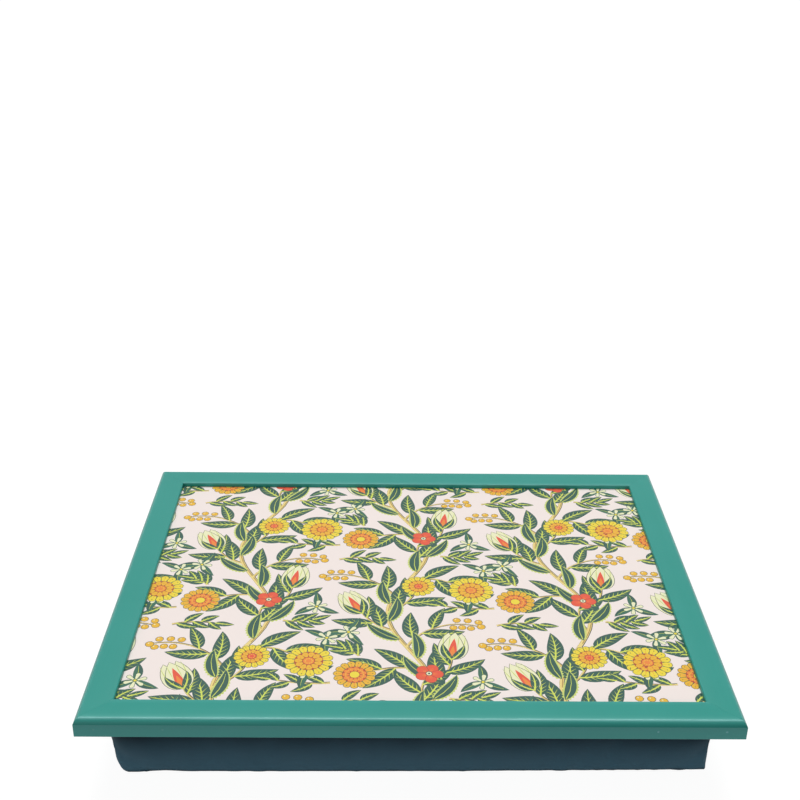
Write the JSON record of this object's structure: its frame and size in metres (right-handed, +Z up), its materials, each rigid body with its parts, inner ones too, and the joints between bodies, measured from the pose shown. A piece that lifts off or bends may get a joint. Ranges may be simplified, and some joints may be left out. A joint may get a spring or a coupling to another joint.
{
  "type": "lap tray",
  "caption": "Flat rectangular serving tray with a raised mitred wooden frame, a decorated top board and a bead-filled cloth cushion fixed underneath, so it sits level on a lap.",
  "frame": {"origin": "centre of the footprint, on the surface that the cushion rests on", "axes": "+X along the tray's long side, +Y away from the person using it, +Z up out of the tray's top"},
  "size_m": [0.43, 0.33, 0.0593],
  "materials": {
    "painted_wood": "satin teal-green paint",
    "print": "decor laminate, satin, pale pink ground with a botanical print",
    "board": "raw fibreboard",
    "nail_steel": "bright wire",
    "filler": "matt wood filler under paint",
    "cover_cloth": "plain-woven dark teal cotton",
    "liner_cloth": "thin white non-woven",
    "beads": "expanded polystyrene beads"
  },
  "bodies": {
    "root": {"front_rail": "painted_wood", "back_rail": "painted_wood", "left_rail": "painted_wood", "right_rail": "painted_wood", "corner_pins": "nail_steel", "panel_pins": "nail_steel", "pin_filler": "filler", "printed_sheet": "print", "panel_board": "board", "front_staples": "nail_steel", "back_staples": "nail_steel", "left_staples": "nail_steel", "right_staples": "nail_steel", "cushion_front": "cover_cloth", "cushion_back": "cover_cloth", "cushion_left": "cover_cloth", "cushion_right": "cover_cloth", "cushion_bottom": "cover_cloth", "liner_bag": "liner_cloth", "bead_filling": "beads"}
  },
  "joints": []
}
